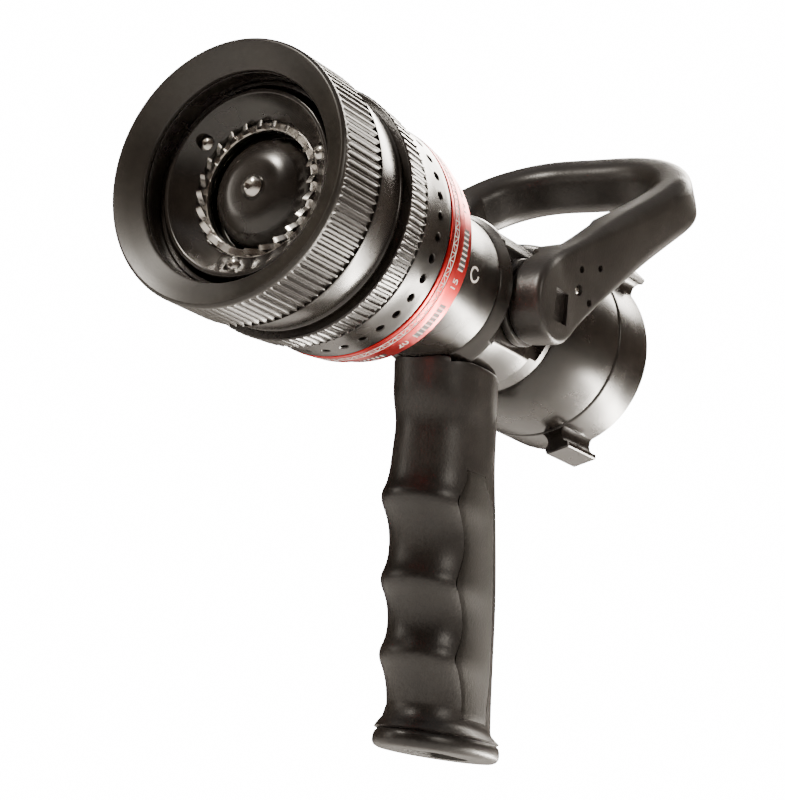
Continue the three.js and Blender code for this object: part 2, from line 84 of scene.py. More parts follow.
def turningPoint(material):
    # where a point sits along the axis and out from it, so a pattern runs round the axis
    split = addNode(material, "ShaderNodeSeparateXYZ")
    wire(material, objectPoint(material), split.inputs[0])
    flat = addNode(material, "ShaderNodeCombineXYZ")
    wire(material, split.outputs["X"], flat.inputs["X"])
    wire(material, split.outputs["Z"], flat.inputs["Y"])
    reach = addNode(material, "ShaderNodeVectorMath")
    reach.operation = "LENGTH"
    wire(material, flat.outputs[0], reach.inputs[0])
    joined = addNode(material, "ShaderNodeCombineXYZ")
    wire(material, split.outputs["Y"], joined.inputs["X"])
    wire(material, reach.outputs["Value"], joined.inputs["Y"])
    return joined.outputs[0]


def noise(material, point, scale, detail=3.0, roughness=0.55):
    node = addNode(material, "ShaderNodeTexNoise", Scale=scale, Detail=detail, Roughness=roughness)
    wire(material, point, node.inputs["Vector"])
    return node.outputs["Fac"]


def ramp(material, value, low, high, fromLow=0.3, fromHigh=0.7):
    node = addNode(material, "ShaderNodeMapRange", **{
        "From Min": fromLow, "From Max": fromHigh, "To Min": low, "To Max": high})
    wire(material, value, node.inputs["Value"])
    return node.outputs["Result"]


def shadeBy(material, value, dark, light):
    # colour drifts between two near tones
    mix = addNode(material, "ShaderNodeMix")
    mix.data_type = "RGBA"
    mix.inputs[6].default_value = (*dark, 1)
    mix.inputs[7].default_value = (*light, 1)
    wire(material, value, mix.inputs[0])
    wire(material, mix.outputs[2], material.node_tree.nodes["Principled BSDF"].inputs["Base Color"])


def bumpBy(material, value, strength, distance):
    node = addNode(material, "ShaderNodeBump", Strength=strength, Distance=distance)
    wire(material, value, node.inputs["Height"])
    wire(material, node.outputs["Normal"], material.node_tree.nodes["Principled BSDF"].inputs["Normal"])


def roughnessBy(material, value):
    wire(material, value, material.node_tree.nodes["Principled BSDF"].inputs["Roughness"])


def turnedFinish(name, dark, light, roughness, metallic, specular, coat, lines):
    # anodised or bare metal with fine turning lines and a faint cloudiness
    material = newMaterial(name, light, roughness, metallic, specular, coat)
    cloud = noise(material, objectPoint(material), 60, 4)
    shadeBy(material, ramp(material, cloud, 0, 1), dark, light)
    roughnessBy(material, ramp(material, cloud, roughness - 0.04, roughness + 0.05))
    grooves = noise(material, turningPoint(material), lines, 2, 0.7)
    bumpBy(material, grooves, 0.12, 0.00004)
    return material


def mouldedFinish(name, dark, light, roughness, specular, grain, bump):
    # plastic or rubber with a fine pebbled skin, slightly polished where hands rub it
    material = newMaterial(name, light, roughness, 0, specular)
    wear = noise(material, objectPoint(material), 38, 4)
    shadeBy(material, ramp(material, wear, 0, 1), dark, light)
    roughnessBy(material, ramp(material, wear, roughness - 0.05, roughness + 0.07))
    pebbles = noise(material, objectPoint(material), grain, 2, 0.5)
    bumpBy(material, pebbles, bump, 0.00012)
    return material


print("materials")
blackAnodised = turnedFinish("blackAnodised", (0.010, 0.008, 0.007), (0.022, 0.018, 0.015),
                             0.25, 0.0, 0.6, 0.0, 1500)
redAnodised = turnedFinish("redAnodised", (0.42, 0.004, 0.006), (0.56, 0.008, 0.010),
                           0.30, 0.85, 0.5, 0.15, 1500)
stainless = turnedFinish("stainless", (0.56, 0.54, 0.51), (0.72, 0.70, 0.67),
                         0.24, 1.0, 0.5, 0.0, 1800)
blackPlastic = mouldedFinish("blackPlastic", (0.011, 0.009, 0.008), (0.024, 0.020, 0.017),
                             0.38, 0.55, 1100, 0.6)
blackRubber = mouldedFinish("blackRubber", (0.012, 0.010, 0.008), (0.022, 0.018, 0.014),
                            0.34, 0.55, 1900, 0.16)
panelRubber = mouldedFinish("panelRubber", (0.014, 0.012, 0.010), (0.028, 0.024, 0.020),
                            0.62, 0.22, 1400, 0.8)
whitePlastic = mouldedFinish("whitePlastic", (0.72, 0.70, 0.66), (0.82, 0.80, 0.76),
                             0.45, 0.5, 900, 0.1)
paintWhite = mouldedFinish("paintWhite", (0.74, 0.70, 0.66), (0.86, 0.83, 0.80),
                           0.5, 0.5, 900, 0.05)
paintBlack = mouldedFinish("paintBlack", (0.010, 0.008, 0.008), (0.018, 0.015, 0.014),
                           0.5, 0.5, 900, 0.05)
slotFinish = {
    "black_anodised": blackAnodised, "red_anodised": redAnodised, "stainless": stainless,
    "black_plastic": blackPlastic, "black_rubber": blackRubber, "white_plastic": whitePlastic,
}
nodeSlot = {row["node"]: row["material_slot"] for row in frame["record"]["subparts"]}
for name, node in frame["nodes"].items():
    for place in node.material_slots:
        place.material = slotFinish[nodeSlot[name]]


# ---- shared mesh helpers

def finishPiece(name, bm, material, body, nodes=(), sharpDegrees=32):
    mesh = bpy.data.meshes.new(name)
    bm.to_mesh(mesh)
    bm.free()
    mesh.shade_smooth()
    mesh.set_sharp_from_angle(angle=math.radians(sharpDegrees))
    piece = bpy.data.objects.new(name, mesh)
    mesh.materials.append(material)
    bpy.context.scene.collection.objects.link(piece)
    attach(piece, body)
    if nodes:
        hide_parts(*nodes)


def rounded(profile, radius, closed=True):
    # softens the corners of a [station, radius] outline
    points = [Vector(point) for point in profile]
    count = len(points)
    result = []
    for i, corner in enumerate(points):
        if not closed and i in (0, count - 1):
            result.append(corner)
            continue
        before = points[i - 1] - corner
        after = points[(i + 1) % count] - corner
        if before.angle(-after, 0) < math.radians(12):
            result.append(corner)
            continue
        reach = min(radius, before.length * 0.42, after.length * 0.42)
        start = corner + before.normalized() * reach
        end = corner + after.normalized() * reach
        for t in (0, 0.35, 0.65, 1):
            result.append(start * (1 - t) ** 2 + corner * 2 * t * (1 - t) + end * t * t)
    return result


def turned(profile, steps=144, radius=0.3, closed=True):
    # a ring or disc spun about the nozzle axis from [station, radius] points in mm
    bm = bmesh.new()
    verts = [bm.verts.new((0, at(d), r * mm)) for d, r in rounded(profile, radius, closed)]
    pairs = list(zip(verts, verts[1:])) + ([(verts[-1], verts[0])] if closed else [])
    edges = [bm.edges.new(pair) for pair in pairs]
    bmesh.ops.spin(bm, geom=verts + edges, cent=(0, 0, 0), axis=(0, 1, 0), dvec=(0, 0, 0),
                   angle=2 * math.pi, steps=steps, use_merge=True)
    bmesh.ops.remove_doubles(bm, verts=bm.verts, dist=1e-7)
    bmesh.ops.recalc_face_normals(bm, faces=bm.faces)
    return bm


def absorb(bm, other):
    # adds a second bmesh to the first
    mesh = bpy.data.meshes.new("passing")
    other.to_mesh(mesh)
    other.free()
    bm.from_mesh(mesh)
    bpy.data.meshes.remove(mesh)


def angleOf(co):
    # degrees from +Z toward +X
    return math.degrees(math.atan2(co.x, co.z)) % 360


def around(station, radius, angle):
    turn = math.radians(angle)
    return Vector((radius * mm * math.sin(turn), at(station), radius * mm * math.cos(turn)))


def loft(rings, capEnd=True):
    # a skin over rings of equally many points, closed at the start
    bm = bmesh.new()
    loop = bmesh.ops.create_circle(bm, segments=len(rings[0]), radius=1)["verts"]
    for vert, point in zip(loop, rings[0]):
        vert.co = point
    first = loop
    for ring in rings[1:]:
        edges = [bm.edges.get((a, b)) for a, b in zip(loop, loop[1:] + loop[:1])]
        made = bmesh.ops.extrude_edge_only(bm, edges=edges)["geom"]
        fresh = {v for v in made if isinstance(v, bmesh.types.BMVert)}
        nextLoop = []
        for vert in loop:
            nextLoop.append(next(e.other_vert(vert) for e in vert.link_edges
                                 if e.other_vert(vert) in fresh))
        for vert, point in zip(nextLoop, ring):
            vert.co = point
        loop = nextLoop
    bm.faces.new(first)
    if capEnd:
        bm.faces.new(loop)
    bmesh.ops.recalc_face_normals(bm, faces=bm.faces)
    return bm


def barBetween(start, end, radius, segments=24, bevel=0.0):
    bm = bmesh.new()
    span = Vector(end) - Vector(start)
    turn = span.to_track_quat("Z", "Y").to_matrix().to_4x4()
    middle = Matrix.Translation((Vector(start) + Vector(end)) / 2)
    bmesh.ops.create_cone(bm, cap_ends=True, segments=segments, radius1=radius, radius2=radius,
                          depth=span.length, matrix=middle @ turn)
    if bevel:
        rims = [e for e in bm.edges if e.calc_face_angle(0) > 1]
        bmesh.ops.bevel(bm, geom=rims, offset=bevel, offset_type="OFFSET", segments=2,
                        profile=0.5, affect="EDGES", material=-1)
    return bm


def boxAt(size, centre, bevel=0.0):
    bm = bmesh.new()
    matrix = Matrix.Translation(centre) @ Matrix.Diagonal((*size, 1))
    bmesh.ops.create_cube(bm, size=1, matrix=matrix)
    if bevel:
        bmesh.ops.bevel(bm, geom=bm.edges[:], offset=bevel, offset_type="OFFSET", segments=2,
                        profile=0.5, affect="EDGES", material=-1)
    return bm


def carve(bm, cutters):
    # takes the cutters out of a closed mesh
    def loose(name, shape):
        mesh = bpy.data.meshes.new(name)
        shape.to_mesh(mesh)
        shape.free()
        thing = bpy.data.objects.new(name, mesh)
        bpy.context.scene.collection.objects.link(thing)
        return thing
    body = loose("carved", bm)
    tools = [loose("cutter", cutter) for cutter in cutters]
    for tool in tools:
        step = body.modifiers.new("cut", "BOOLEAN")
        step.operation = "DIFFERENCE"
        step.solver = "EXACT"
        step.object = tool
    bpy.context.view_layer.update()
    evaluated = body.evaluated_get(bpy.context.evaluated_depsgraph_get())
    result = bmesh.new()
    result.from_mesh(evaluated.to_mesh())
    evaluated.to_mesh_clear()
    for thing in [body] + tools:
        mesh = thing.data
        bpy.data.objects.remove(thing)
        bpy.data.meshes.remove(mesh)
    return result


# ---- the fluted front bumper, the foam tube and the second grip ring

flutes = {"count": 96, "depth": 0.85, "landHalf": 0.16, "shoulder": 0.26, "tip": 1.6, "start": 0.6}


def cutFlutes(bm, front, rear, crest):
    # presses grooves between straight ribs whose rear ends run to points
    for vert in bm.verts:
        station = vert.co.y / mm + nozzleLength
        reach = math.hypot(vert.co.x, vert.co.z) / mm
        if reach < crest - 1.2 or not front < station < rear + 0.05:
            continue
        phase = angleOf(vert.co) / 360 * flutes["count"]
        offLand = abs(phase - round(phase))
        taper = min(1, max(0, (rear - station) / flutes["tip"])) ** 0.6
        if offLand <= flutes["landHalf"] * taper + 1e-4:
            continue
        depth = flutes["depth"] * min(1, (station - front) / flutes["start"])
        if offLand <= flutes["shoulder"] * taper:
            depth *= 0.3
        vert.co.x *= (reach - depth) / reach
        vert.co.z *= (reach - depth) / reach


print("front bumper and foam tube")
bumper = {"rows": [20.9, 20.6, 20.2, 19.8, 19.4, 16, 11, 6, 3.6, 3.2, 2.6, 2.0]}
bm = turned([(0.25, 41.4), (0, 40.9), (2.1, 37.4), (4.2, 33.9), (4.6, 33.25), (5.4, 33), (6, 33),
             (6, 34.8), (21.4, 34.8), (21.4, 41.15)]
            + [(row, 41.95) for row in bumper["rows"]] + [(1.0, 41.95)],
            flutes["count"] * 8, 0.35)
cutFlutes(bm, 2.3, 20.9, 41.95)
finishPiece("front_bumper_fluted", bm, blackRubber, "foam", ["front_bumper"])

bm = turned([(6.3, 33), (6.3, 34.5), (21.7, 34.5), (21.7, 41.15), (23, 41.1), (29, 40.1), (35.2, 38.9),
             (35.9, 38.3), (36.2, 38.9), (36.7, 39.1), (37.5, 39.0), (38.2, 38.3), (38.2, 33)],
            180, 0.25)
finishPiece("foam_tube_turned", bm, blackAnodised, "foam", ["foam_tube"])

gripRing = {"rows": [49.8, 49.5, 49.1, 48.7, 48.3, 45, 42, 39.4]}
bm = turned([(38.6, 36.7), (38.6, 41.1), (39.0, 41.6)]
            + [(row, 41.6 - (row - 39) * 0.075) for row in reversed(gripRing["rows"])]
            + [(50.1, 40.05), (50.6, 39.9), (50.6, 36.7)], flutes["count"] * 8, 0.2)
cutFlutes(bm, 38.9, 49.8, 40.9)
finishPiece("rear_grip_ring_fluted", bm, blackAnodised, "pattern",
            ["rear_grip_ring"])

# ---- the pattern sleeve with its row of air holes

airHoles = {"count": 36, "radius": 1.65, "station": 60.1, "half": 3.4, "outer": 39.2, "wall": 3.6,
            "side": 6}


def drilledSector():
    # one hole in a patch of the sleeve, drawn flat and bent round the axis
    bm = bmesh.new()
    side = airHoles["side"]
    segments = side * 4
    hole = bmesh.ops.create_circle(bm, segments=segments, radius=airHoles["radius"])["verts"]
    rim = bmesh.ops.create_circle(bm, segments=segments, radius=1)["verts"]
    halfTurn = 180 / airHoles["count"]
    halfArc = math.radians(halfTurn) * airHoles["outer"]
    for i, vert in enumerate(rim):
        edge, step = divmod((i + side // 2) % segments, side)
        t = step / side * 2 - 1
        corner = [(1, t), (-t, 1), (-1, -t), (t, -1)][edge]
        vert.co = Vector((corner[0] * halfArc, corner[1] * airHoles["half"], 0))
    for i, vert in enumerate(hole):
        turn = 2 * math.pi * i / segments
        vert.co = Vector((math.cos(turn), math.sin(turn), 0)) * airHoles["radius"]
    holeEdges = [bm.edges.get((a, b)) for a, b in zip(hole, hole[1:] + hole[:1])]
    rimEdges = [bm.edges.get((a, b)) for a, b in zip(rim, rim[1:] + rim[:1])]
    bmesh.ops.bridge_loops(bm, edges=holeEdges + rimEdges)
    for sink, spread in ((0.35, 0.82), (airHoles["wall"], 1)):
        made = bmesh.ops.extrude_edge_only(bm, edges=holeEdges)["geom"]
        fresh = [v for v in made if isinstance(v, bmesh.types.BMVert)]
        holeEdges = [e for e in made if isinstance(e, bmesh.types.BMEdge)]
        for vert in fresh:
            vert.co.z = -sink
            vert.co.x *= spread
            vert.co.y *= spread
    for vert in bm.verts:
        arc, along, height = vert.co
        angle = math.degrees(arc / airHoles["outer"]) + halfTurn
        vert.co = around(airHoles["station"] + along, airHoles["outer"] + height, angle)
    return bm


print("pattern sleeve")
bm = drilledSector()
bmesh.ops.spin(bm, geom=bm.verts[:] + bm.edges[:] + bm.faces[:], cent=(0, 0, 0), axis=(0, 1, 0),
               dvec=(0, 0, 0), angle=2 * math.pi, steps=airHoles["count"], use_duplicate=True)
bandFront, bandRear = (airHoles["station"] + airHoles["half"] * side for side in (-1, 1))
wallSteps = airHoles["count"] * airHoles["side"]
shell = turned([(bandFront, 39.2), (51.9, 39.2), (51.7, 39.75), (51.1, 39.75), (51, 39.5), (51, 36.4),
                (38.9, 36.4), (38.9, 32.7), (13, 32.7), (13, 31.4), (50, 31.4), (52, 35.5), (64.2, 35.5),
                (64.2, 30), (46, 30), (46, 28), (54.3, 28), (54.3, 26.1), (71.7, 26.1), (71.7, 28.6),
                (68.2, 28.6), (68.2, 34.6), (66.6, 34.6), (66.6, 38.8), (66.3, 39.2), (bandRear, 39.2)],
               wallSteps, 0.2, False)
absorb(bm, shell)
bmesh.ops.remove_doubles(bm, verts=bm.verts, dist=2e-5)
bmesh.ops.recalc_face_normals(bm, faces=bm.faces)
finishPiece("pattern_sleeve_drilled", bm, blackAnodised, "pattern",
            ["pattern_sleeve"])

# ---- the parts seen in the mouth

print("mouth")
nose = {"screwRadius": 24.6, "screwStation": 15.2, "screwAngles": [67, 187, 307], "seatFront": 9,
        "seatRadius": 2.55}
bm = turned([(10.6, 28.5), (10.75, 28.2), (12, 27.4), (14.6, 24.9), (16.8, 21.9), (19, 21.7), (19, 29.7),
             (10.9, 29.7), (10.6, 29.4)], 144, 0.2)
seats = [barBetween(around(nose["seatFront"], nose["screwRadius"], a),
                    around(nose["screwStation"], nose["screwRadius"], a), nose["seatRadius"] * mm, 32)
         for a in nose["screwAngles"]]
bm = carve(bm, seats)
finishPiece("shaper_nose_turned", bm, blackAnodised, "pattern", ["shaper_nose"])

bm = turned([(19.3, 23.2), (21.3, 23.2), (21.3, 22), (43, 22), (43, 26.1), (54, 26.1), (54, 27.7),
             (45.7, 27.7), (45.7, 29.7), (19.3, 29.7)], 96, 0.2)
finishPiece("stream_shaper_turned", bm, blackAnodised, "pattern",
            ["stream_shaper"])

socketShare = 0.46  # of the head's radius


def buttonScrew(radius, height, centre, direction):
    # a domed head with a six-sided socket, drawn along -Y and turned to its direction
    bm = bmesh.new()
    dome = [(0, 1), (0.25, 1), (0.55, 0.86), (0.85, 0.62), (1, 0.42)]  # share of height, of radius
    verts = [bm.verts.new((0, -t * height * mm, share * radius * mm)) for t, share in dome]
    edges = [bm.edges.new(pair) for pair in zip(verts, verts[1:])]
    bmesh.ops.spin(bm, geom=verts + edges, cent=(0, 0, 0), axis=(0, 1, 0), dvec=(0, 0, 0),
                   angle=2 * math.pi, steps=36, use_merge=True)
    bmesh.ops.holes_fill(bm, edges=[e for e in bm.edges if e.is_boundary], sides=0)
    bmesh.ops.recalc_face_normals(bm, faces=bm.faces)
    hexagon = barBetween((0, -height * 1.4 * mm, 0), (0, -height * 0.35 * mm, 0),
                         radius * socketShare * mm, 6)
    bm = carve(bm, [hexagon])
    turn = Vector((0, -1, 0)).rotation_difference(Vector(direction)).to_matrix().to_4x4()
    bmesh.ops.transform(bm, matrix=Matrix.Translation(centre) @ turn, verts=bm.verts)
    return bm


for i, angle in enumerate(nose["screwAngles"]):
    centre = around(nose["screwStation"] - 0.1, nose["screwRadius"], angle)
    finishPiece(f"nose_screw_{i + 1}_button", buttonScrew(2.35, 1.3, centre, (0, -1, 0)), stainless,
                "pattern", [f"nose_screw_{i + 1}"])

toothRing = {"count": 24, "inner": 18.9, "outer": 21.4, "front": 18.0, "height": 2.9}


def toothMesh(middleAngle):
    # a small fin that stands forward from the ring, wide at its root and hooked over sideways
    rings = []
    pitch = 360 / toothRing["count"]
    for t in (0, 0.25, 0.5, 0.75, 1):
        station = toothRing["front"] + 0.4 - t * (toothRing["height"] + 0.4)
        width = pitch * (0.34 - 0.30 * t)
        lean = pitch * 0.42 * t * t
        ring = []
        low, high = toothRing["inner"] + 0.4, toothRing["outer"] - 0.25
        for side, reach in ((-1, low), (1, low), (1, high), (-1, high)):
            ring.append(around(station, reach, middleAngle + lean + side * width))
        rings.append(ring)
    return loft(rings)


bm = turned([(18, 18.9), (18, 21.4), (19.3, 21.4), (19.3, 22.8), (21, 22.8), (21, 18.9)], 144, 0.15)
for i in range(toothRing["count"]):
    absorb(bm, toothMesh((i + 0.5) * 360 / toothRing["count"]))
finishPiece("tooth_ring_toothed", bm, stainless, "pattern", ["tooth_ring"])

bm = turned([(21, 4.3), (27.5, 4.3), (27.5, 6.4), (24.2, 14.6), (22.6, 17.1), (21.6, 17.3), (21, 17.1),
             (19.2, 15.9), (17.4, 14.1), (16.1, 12.0), (15.2, 9.8), (14.9, 8.2), (14.9, 2.4), (21, 2.4)],
            128, 0.25)
finishPiece("baffle_head_domed", bm, blackAnodised, "baffle", ["baffle_head"])
finishPiece("baffle_screw_button",
            buttonScrew(3.6, 2.1, Vector((0, at(14.8), 0)), (0, -1, 0)), stainless,
            "baffle", ["baffle_screw"])

# ---- the red flow ring, its scale and its rear numbers

print("flow ring")
bm = turned([(67, 35), (67, 39.1), (67.3, 39.3), (68.6, 39.25), (68.8, 39.05), (69.1, 39.2), (72.6, 38.85),
             (72.8, 38.65), (73.1, 38.8), (76.3, 38.5), (76.6, 38.2), (76.6, 37.1), (77, 36.95), (84.6, 36.3),
             (85.5, 35.6), (85.5, 29), (84, 29), (84, 26.1), (83.6, 26.1), (83.2, 27.3), (81.4, 27.3),
             (81, 26.1), (80.6, 26.1), (80.6, 29), (76.2, 29), (76.2, 26.1), (74, 26.1), (74, 35)], 180, 0.12)
finishPiece("flow_ring_turned", bm, redAnodised, "flow", ["flow_ring"])

flowSurface = [(69.1, 39.2), (72.6, 38.85), (73.1, 38.8), (76.3, 38.5), (77, 36.95), (84.6, 36.3)]


def flowRadius(station):
    # radius of the ring's outer surface
    for (d0, r0), (d1, r1) in zip(flowSurface, flowSurface[1:]):
        if station <= d1:
            return r0 + (r1 - r0) * (station - d0) / (d1 - d0)
    return flowSurface[-1][1]


def paintStroke(bm, startStation, startAngle, endStation, endAngle, width, radiusOf, proud=0.05):
    # a thin painted line laid on a turned surface, width in mm
    steps = max(1, int(abs(endAngle - startAngle) / 2), int(abs(endStation - startStation) / 1.2))
    along = Vector(((endStation - startStation),
                    math.radians(endAngle - startAngle) * radiusOf(startStation)))
    across = Vector((-along.y, along.x)).normalized() * width / 2
    rows = []
    for i in range(steps + 1):
        t = i / steps
        station = startStation + (endStation - startStation) * t
        angle = startAngle + (endAngle - startAngle) * t
        row = []
        for side in (-1, 1):
            d = station + across.x * side
            a = angle + math.degrees(across.y * side / radiusOf(station))
            row.append(bm.verts.new(around(d, radiusOf(d) + proud, a)))
        rows.append(row)
    for (a, b), (c, d) in zip(rows, rows[1:]):
        bm.faces.new((a, b, d, c))


def thicken(bm, depth):
    # gives painted strokes a body that sinks into what they lie on
    for face in bm.faces:
        face.normal_update()
        centre = face.calc_center_median()
        if face.normal.dot(Vector((centre.x, 0, centre.z))) < 0:
            face.normal_flip()
    top = bm.faces[:]
    made = bmesh.ops.extrude_face_region(bm, geom=top)["geom"]
    for vert in {v for v in made if isinstance(v, bmesh.types.BMVert)}:
        reach = math.hypot(vert.co.x, vert.co.z)
        vert.co.x *= (reach + depth) / reach
        vert.co.z *= (reach + depth) / reach
    bmesh.ops.recalc_face_normals(bm, faces=bm.faces)


scale = {"pitch": 3.75, "front": 69.3, "rear": 72.2, "line": 0.26, "tickFront": 77.4, "tickRear": 82.4,
         "tickPitch": 2.7}
bm = bmesh.new()
for station in (scale["front"], scale["rear"]):
    for angle in range(0, 360, 30):
        paintStroke(bm, station, angle, station, angle + 30, scale["line"], flowRadius)
for i in range(int(360 / scale["pitch"])):
    a = i * scale["pitch"]
    paintStroke(bm, scale["front"], a, scale["rear"], a, 0.24, flowRadius)
    if i % 2:
        paintStroke(bm, scale["front"], a, scale["rear"], a + scale["pitch"], 0.2, flowRadius)
    else:
        paintStroke(bm, scale["rear"], a, scale["front"], a + scale["pitch"], 0.2, flowRadius)
thicken(bm, 0.04 * mm)
finishPiece("flow_ring_hatching", bm, paintWhite, "flow")

bm = bmesh.new()
dark = bmesh.new()
for group in range(9):
    for i in range(8):
        a = group * 40 + 2 + i * scale["tickPitch"]
        paintStroke(dark, scale["tickFront"], a, scale["tickRear"], a, 1.0, flowRadius, 0.04)
        paintStroke(bm, scale["tickFront"], a + scale["tickPitch"] / 2, scale["tickRear"] - 0.4 * (i % 2),
                    a + scale["tickPitch"] / 2, 0.5, flowRadius)
thicken(bm, 0.04 * mm)
thicken(dark, 0.03 * mm)
finishPiece("flow_ring_ticks", bm, paintWhite, "flow")
finishPiece("flow_ring_tick_ground", dark, paintBlack, "flow")


def wrappedNumber(text, size, station, angle, radiusOf, proud=0.05):
    # a figure drawn flat, then bent round the axis with its foot toward the hose
    curve = bpy.data.curves.new("figure", "FONT")
    curve.body = text
    curve.size = size * mm
    curve.align_x = "CENTER"
    curve.align_y = "CENTER"
    curve.resolution_u = 3
    curve.extrude = 0.04 * mm
    thing = bpy.data.objects.new("figure", curve)
    bpy.context.scene.collection.objects.link(thing)
    bpy.context.view_layer.update()
    evaluated = thing.evaluated_get(bpy.context.evaluated_depsgraph_get())
    bm = bmesh.new()
    bm.from_mesh(evaluated.to_mesh())
    evaluated.to_mesh_clear()
    bpy.data.objects.remove(thing)
    bpy.data.curves.remove(curve)
    bmesh.ops.triangulate(bm, faces=bm.faces)
    for vert in bm.verts:
        across, up, height = vert.co
        d = station - up / mm
        r = radiusOf(d) + proud + height / mm
        vert.co = around(d, r, angle - math.degrees(across / mm / r))
    bmesh.ops.remove_doubles(bm, verts=bm.verts, dist=1e-7)
    bmesh.ops.recalc_face_normals(bm, faces=bm.faces)
    return bm


bm = bmesh.new()
for i, text in enumerate(("5", "10", "15", "20", "25", "30", "35", "40", "0")):
    absorb(bm, wrappedNumber(text, 4.4, 80.2, 30 + i * 40, flowRadius))
finishPiece("flow_ring_numbers", bm, paintWhite, "flow")

# ---- barrel, valve body and tailpiece

print("barrel and valve body")
bm = turned([(25, 18.6), (25, 20.7), (26, 21.7), (35.8, 21.7), (35.8, 19.9), (38.2, 19.9), (38.2, 21.7),
             (45, 21.7), (46.4, 25.8), (84.1, 25.8), (84.1, 24.5), (85.5, 24.5), (85.5, 25.8),
             (122, 25.8), (122, 21.5), (126, 21.5), (126, 13), (113, 13), (104, 19), (60, 19), (56, 18.2),
             (27, 18.2)], 144, 0.25)
finishPiece("barrel_turned", bm, blackAnodised, "valve", ["barrel"])

bm = bmesh.new()
ringMark = {"station": 106, "angle": 93, "radius": 2.4}
for i in range(28):
    turnA, turnB = 2 * math.pi * i / 32, 2 * math.pi * (i + 1) / 32
    ends = []
    for turn in (turnA, turnB):
        d = ringMark["station"] + ringMark["radius"] * math.cos(turn)
        ends.append((d, ringMark["angle"] + math.degrees(ringMark["radius"] * math.sin(turn) / 25.8)))
    paintStroke(bm, *ends[0], *ends[1], 0.75, lambda d: 25.8, 0.04)
bmesh.ops.remove_doubles(bm, verts=bm.verts, dist=1.6e-4)
thicken(bm, 0.03 * mm)
finishPiece("neck_ring_mark", bm, paintWhite, "valve")

valve = {"flat": 21.3, "flatFront": 127.75, "flatRear": 160.25}
bm = turned([(122.3, 21.8), (122.3, 25.6), (122.6, 26.0), (124, 26.5), (127.7, 27.7), (127.8, 27.75),
             (129.2, 28.1), (130.4, 27.9), (131, 27.2), (140, 27.2), (148, 27.2), (155.4, 27.2),
             (155.6, 26.7),
             (156, 26.8), (160.2, 26.8), (160.3, 26.8), (163, 26.8), (163.4, 26.4), (163.4, 24.6),
             (170, 24.6), (170, 22.9), (161.9, 22.9), (161.9, 19.4), (126.3, 19.4), (126.3, 21.8)], 192, 0.15)
for vert in bm.verts:
    station = vert.co.y / mm + nozzleLength
    reach = math.hypot(vert.co.x, vert.co.z)
    onFlat = valve["flatFront"] < station < valve["flatRear"] and reach > 24 * mm
    if onFlat and abs(vert.co.x) > valve["flat"] * mm:
        vert.co.x = math.copysign(valve["flat"] * mm, vert.co.x)
saddle = {"wide": 18, "long": 26, "deep": 8, "station": 140, "height": -26.7}
saddleSize = (saddle["wide"] * mm, saddle["long"] * mm, saddle["deep"] * mm)
absorb(bm, boxAt(saddleSize, (0, at(saddle["station"]), saddle["height"] * mm), bevel=1.2 * mm))
finishPiece("valve_body_turned", bm, blackAnodised, "valve", ["valve_body"])

bm = turned([(162.2, 13), (162.2, 22.6), (170.3, 22.6), (170.3, 24.6), (178.4, 24.6), (178.4, 23.3),
             (181.6, 23.3), (181.6, 24.6), (188.3, 24.6), (188.3, 17), (176, 17), (170, 13)], 96, 0.25)
finishPiece("tailpiece_turned", bm, blackAnodised, "valve", ["tailpiece"])

# ---- swivel coupling with three rocker lugs

print("coupling")
lug = {"count": 3, "phase": 160, "root": 33.6, "tip": 42.0, "front": 195.6, "rear": 217.6}


def lugMesh(angle):
    # a T-shaped lug: waisted flanks under a wide cap with sharp lips
    outline = [(-5.4, 33.6), (-3.9, 35.0), (-3.1, 36.6), (-3.0, 38.0), (-3.5, 39.4), (-4.9, 40.4),
               (-4.7, 41.7), (-4.2, 42.0)]
    outline += [(-x, r) for x, r in reversed(outline)]
    turn = math.radians(angle)
    outward = Vector((math.sin(turn), 0, math.cos(turn)))
    sideways = Vector((math.cos(turn), 0, -math.sin(turn)))
    rings = []
    for station, shrink in ((lug["front"], 0.94), (lug["front"] + 0.5, 1), (lug["rear"] - 0.5, 1),
                            (lug["rear"], 0.94)):
        ring = []
        for x, r in outline:
            point = sideways * x * shrink * mm + outward * (lug["root"] + (r - lug["root"]) * shrink) * mm
            ring.append(point + Vector((0, at(station), 0)))
        rings.append(ring)
    return loft(rings)


bm = turned([(165, 24.9), (165, 25.9), (165.7, 26.8), (167, 27.8), (168.6, 28.7), (170.5, 29.6),
             (172.5, 30.4), (175.2, 31.25), (178, 31.95), (181, 32.55), (184, 33.05), (187, 33.5),
             (190, 33.85), (194.4, 34.25), (194.9, 34.0), (195.3, 34.6), (196, 34.7), (217, 34.7),
             (217.9, 34), (218, 33.6), (218, 25), (216.6, 23.6), (188.6, 23.6), (188.6, 24.9),
             (181.8, 24.9), (181.8, 26.3), (178.2, 26.3), (178.2, 24.9)], 180, 0.3)
for i in range(lug["count"]):
    absorb(bm, lugMesh(lug["phase"] + i * 360 / lug["count"]))
finishPiece("swivel_coupling_lugged", bm, blackAnodised, "coupling",
            ["swivel_coupling"], 28)

# ---- bail

print("bail")
bail = {"lean": 40, "reach": 109.6, "boss": 14.5, "outer": 37.3, "corner": 50, "turn": 30, "thick": 15.5,
        "wide": 19, "inner": 24.7, "relief": 28.8, "edge": 2.6, "barEdge": 5.6, "around": 6,
        "pinch": 0.6, "stepEnd": 13.5, "reliefEnd": 44}
bailTurn = Matrix.Translation((0, at(pivotStation), 0)) @ Matrix.Rotation(
    -math.radians(90 - bail["lean"]), 4, "X")


